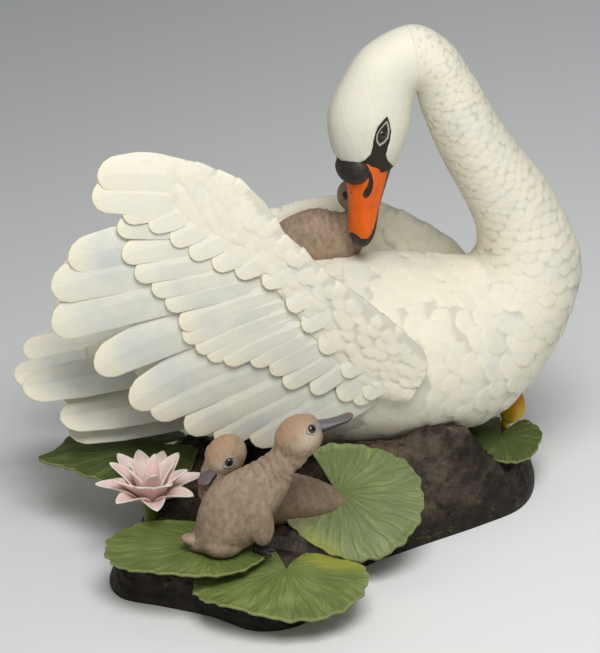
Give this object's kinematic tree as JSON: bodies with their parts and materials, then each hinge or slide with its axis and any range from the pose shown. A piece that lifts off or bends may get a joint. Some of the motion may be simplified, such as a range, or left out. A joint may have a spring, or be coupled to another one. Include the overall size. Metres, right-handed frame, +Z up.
{
  "type": "swan figurine",
  "caption": "Painted porcelain swan that bends its neck over its cygnets on an earth bank with lily pads and flowers, standing free on a shelf.",
  "frame": {"origin": "on the floor, on the flat underside of the bank, under the middle of the group", "axes": "+Z up; -Y is the front, which is meant to be looked at; +X runs from the swan's tail to its breast, give or take the 12 degrees that the swan is turned"},
  "size_m": [0.3709, 0.3014, 0.3175],
  "materials": {
    "bisque_white": "matt painted bisque porcelain, ivory with blue-grey in the feathers",
    "earth_brown": "matt painted bisque porcelain, dark brown earth and bark",
    "cygnet_down": "matt painted bisque porcelain, taupe down",
    "pad_green": "matt painted bisque porcelain, leaf green with pale veins",
    "petal_pink": "matt painted bisque porcelain, pink with cream edges",
    "stamen_orange": "matt painted bisque porcelain, orange",
    "bud_yellow": "matt painted bisque porcelain, ochre yellow"
  },
  "bodies": {
    "root": {"swan": "bisque_white", "bank": "earth_brown", "cygnet_front": "cygnet_down", "cygnet_resting": "cygnet_down", "cygnet_on_back": "cygnet_down", "lily_pad_left": "pad_green", "lily_pad_front": "pad_green", "lily_pad_right": "pad_green", "lily_pad_back": "pad_green", "lily_pad_bud": "pad_green", "water_lily": "petal_pink", "lily_stamens": "stamen_orange", "yellow_bud": "bud_yellow"}
  },
  "joints": []
}
